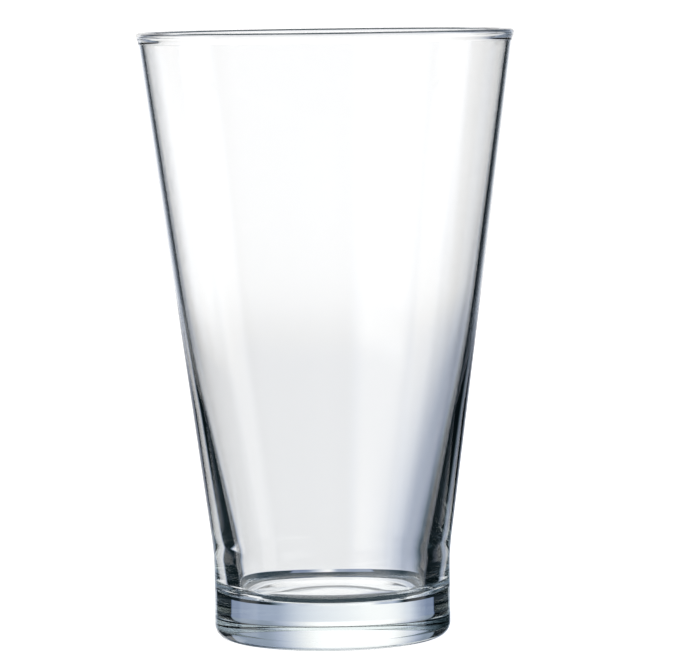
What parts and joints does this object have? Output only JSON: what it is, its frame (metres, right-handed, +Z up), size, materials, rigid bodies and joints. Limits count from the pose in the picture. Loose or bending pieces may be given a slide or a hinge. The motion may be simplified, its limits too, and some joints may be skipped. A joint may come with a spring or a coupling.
{
  "type": "mixing glass",
  "caption": "Clear bar mixing glass: a tall conical bowl with a rounded lip on a thick straight-sided foot, for stirring drinks or pairing with a shaker tin.",
  "frame": {"origin": "centre of the foot, on the plane that the glass stands on", "axes": "+Z up, along the axis that the glass is turned about; +X and +Y are any two square directions, because the glass is round"},
  "size_m": [0.09, 0.09, 0.145],
  "materials": {
    "clear_glass": "clear, polished, with a faint blue-green body tint"
  },
  "bodies": {
    "root": {"glass_body": "clear_glass"}
  },
  "joints": []
}
